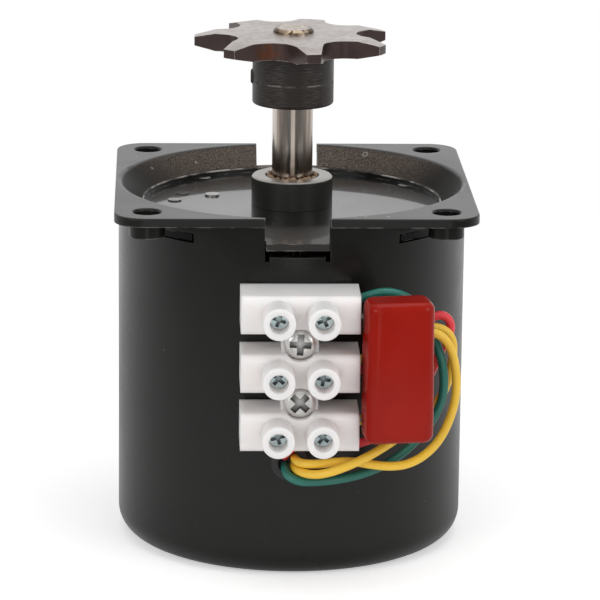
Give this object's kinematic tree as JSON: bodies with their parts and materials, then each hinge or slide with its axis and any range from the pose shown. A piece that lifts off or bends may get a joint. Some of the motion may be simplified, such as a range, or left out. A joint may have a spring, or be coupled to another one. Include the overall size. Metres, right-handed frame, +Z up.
{
  "type": "synchronous gear motor",
  "caption": "Round synchronous gear motor in a black can with a square dished flange, a chain sprocket on its shaft, and a terminal strip and run capacitor on its side.",
  "frame": {"origin": "centre of the can's flat base", "axes": "+Z up along the output shaft, -Y towards the terminal strip, +X towards the capacitor"},
  "size_m": [0.061, 0.0758, 0.0893],
  "materials": {
    "black_can": "satin black paint",
    "black_plate": "gloss black paint",
    "bare_steel": "turned, bare",
    "dark_steel": "blackened, slightly rusty",
    "plain_steel": "zinc plated",
    "brass": "turned",
    "copper": "enamelled winding",
    "gear_nylon": "moulded",
    "bobbin_plastic": "moulded",
    "magnet": "plastic-bonded ferrite",
    "terminal_white": "slightly translucent moulding",
    "screw_zinc": "bright zinc",
    "capacitor_red": "dipped, glossy",
    "tinned_wire": "tinned",
    "grommet_rubber": "soft",
    "green_cover": "soft insulation",
    "yellow_cover": "soft insulation",
    "red_cover": "soft insulation"
  },
  "bodies": {
    "frame": {"motor_can": "black_can", "mounting_flange": "black_can", "gear_plate": "black_plate", "output_bush": "bare_steel", "motor_plate": "plain_steel", "plate_pillars": "plain_steel", "gear_pins": "plain_steel", "gear_spacers": "brass", "lower_pole_plate": "plain_steel", "middle_pole_plate": "plain_steel", "upper_pole_plate": "plain_steel", "lower_bobbin": "bobbin_plastic", "upper_bobbin": "bobbin_plastic", "lower_winding": "copper", "upper_winding": "copper", "lower_bush": "brass", "upper_bush": "brass", "terminal_body": "terminal_white", "terminal_barrels": "brass", "clamp_screws": "screw_zinc", "fixing_screws": "screw_zinc", "capacitor_body": "capacitor_red", "capacitor_leads": "tinned_wire", "lead_grommet": "grommet_rubber", "green_lead": "green_cover", "outer_yellow_lead": "yellow_cover", "inner_yellow_lead": "yellow_cover", "red_lead": "red_cover"},
    "output": {"output_shaft": "bare_steel", "retaining_ring": "plain_steel", "thrust_washer": "plain_steel", "sprocket_plate": "dark_steel", "sprocket_hub": "dark_steel", "hub_set_screw": "dark_steel", "output_gear": "plain_steel"},
    "second_cluster": {"second_gear": "brass"},
    "first_cluster": {"first_gear": "gear_nylon"},
    "rotor": {"rotor_pinion": "brass", "rotor_shaft": "plain_steel", "rotor_magnet": "magnet", "rotor_hub": "gear_nylon"}
  },
  "joints": [
    {"name": "output_spin", "type": "hinge", "parent": "frame", "child": "output", "pos_m": [0, 0, 0.07], "axis": [0, 0, 1], "continuous": true},
    {"name": "second_spin", "type": "hinge", "parent": "frame", "child": "second_cluster", "pos_m": [-0.0137, 0.0061, 0.048], "axis": [0, 0, 1], "continuous": true},
    {"name": "first_spin", "type": "hinge", "parent": "frame", "child": "first_cluster", "pos_m": [-0.00157, 0.01492, 0.043], "axis": [0, 0, 1], "continuous": true},
    {"name": "rotor_spin", "type": "hinge", "parent": "frame", "child": "rotor", "pos_m": [0, 0, 0.02], "axis": [0, 0, 1], "continuous": true}
  ],
  "couplings": [
    {"joint": "second_spin", "follows": "output_spin", "ratio": -3},
    {"joint": "first_spin", "follows": "output_spin", "ratio": 9},
    {"joint": "rotor_spin", "follows": "output_spin", "ratio": -27}
  ]
}
